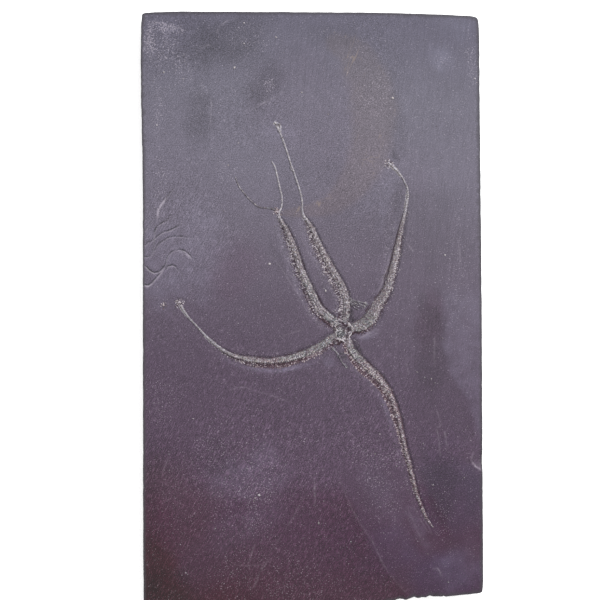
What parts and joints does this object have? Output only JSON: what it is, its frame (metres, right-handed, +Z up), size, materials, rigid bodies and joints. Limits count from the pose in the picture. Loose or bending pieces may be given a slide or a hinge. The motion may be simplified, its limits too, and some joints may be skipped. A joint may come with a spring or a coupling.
{
  "type": "brittle star fossil",
  "caption": "Flat slate slab with a long-armed brittle star fossil in low relief on its face, for display lying on its back.",
  "frame": {"origin": "middle of the slab's underside", "axes": "+Z up out of the fossil face, +Y along the slab's length towards the end with the thin arm tips, +X across the slab"},
  "size_m": [0.1212, 0.217, 0.0088],
  "materials": {
    "slate": "dull bluish-grey to purple-brown slate with fine scratches and small pale specks",
    "fossil": "matt grey-beige mineral with brown hollows, rough with small plates and spines"
  },
  "bodies": {
    "root": {"slab": "slate", "disc": "fossil", "arm_upper_left": "fossil", "arm_upper_middle": "fossil", "arm_right": "fossil", "arm_left": "fossil", "arm_lower": "fossil"}
  },
  "joints": []
}
